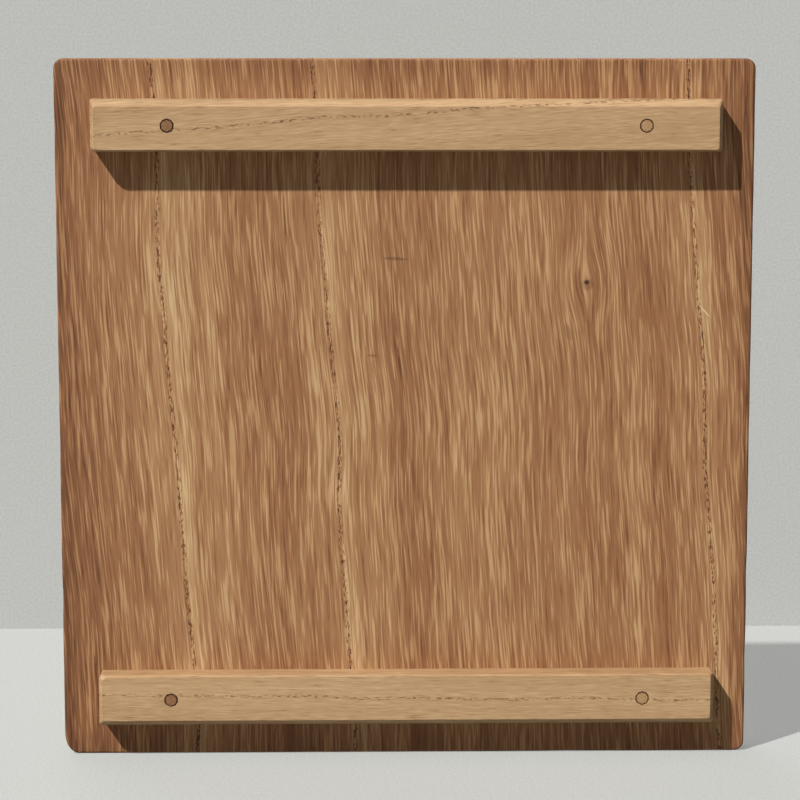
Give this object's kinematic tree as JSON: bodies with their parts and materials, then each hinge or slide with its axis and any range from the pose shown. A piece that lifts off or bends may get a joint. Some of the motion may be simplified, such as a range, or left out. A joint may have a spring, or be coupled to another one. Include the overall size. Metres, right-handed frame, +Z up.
{
  "type": "wooden box lid",
  "caption": "Square wooden storage-box lid with cross battens pegged to its inner face, standing upright on its lower edge.",
  "frame": {"origin": "middle of the bottom of the whole lid, on the surface that it stands on", "axes": "+Z up along the board's grain, +X along the battens, -Y out of the inner face that carries the battens"},
  "size_m": [0.16, 0.015, 0.162],
  "materials": {
    "board_wood": "planed bare paulownia, browned with age",
    "batten_wood": "planed bare paulownia, pale",
    "dark_peg_wood": "whittled hardwood, darkened",
    "pale_peg_wood": "whittled hardwood, pale"
  },
  "bodies": {
    "root": {"lid_board": "board_wood", "upper_batten": "batten_wood", "lower_batten": "batten_wood", "upper_peg_left": "dark_peg_wood", "upper_peg_right": "pale_peg_wood", "lower_peg_left": "dark_peg_wood", "lower_peg_right": "pale_peg_wood"}
  },
  "joints": []
}
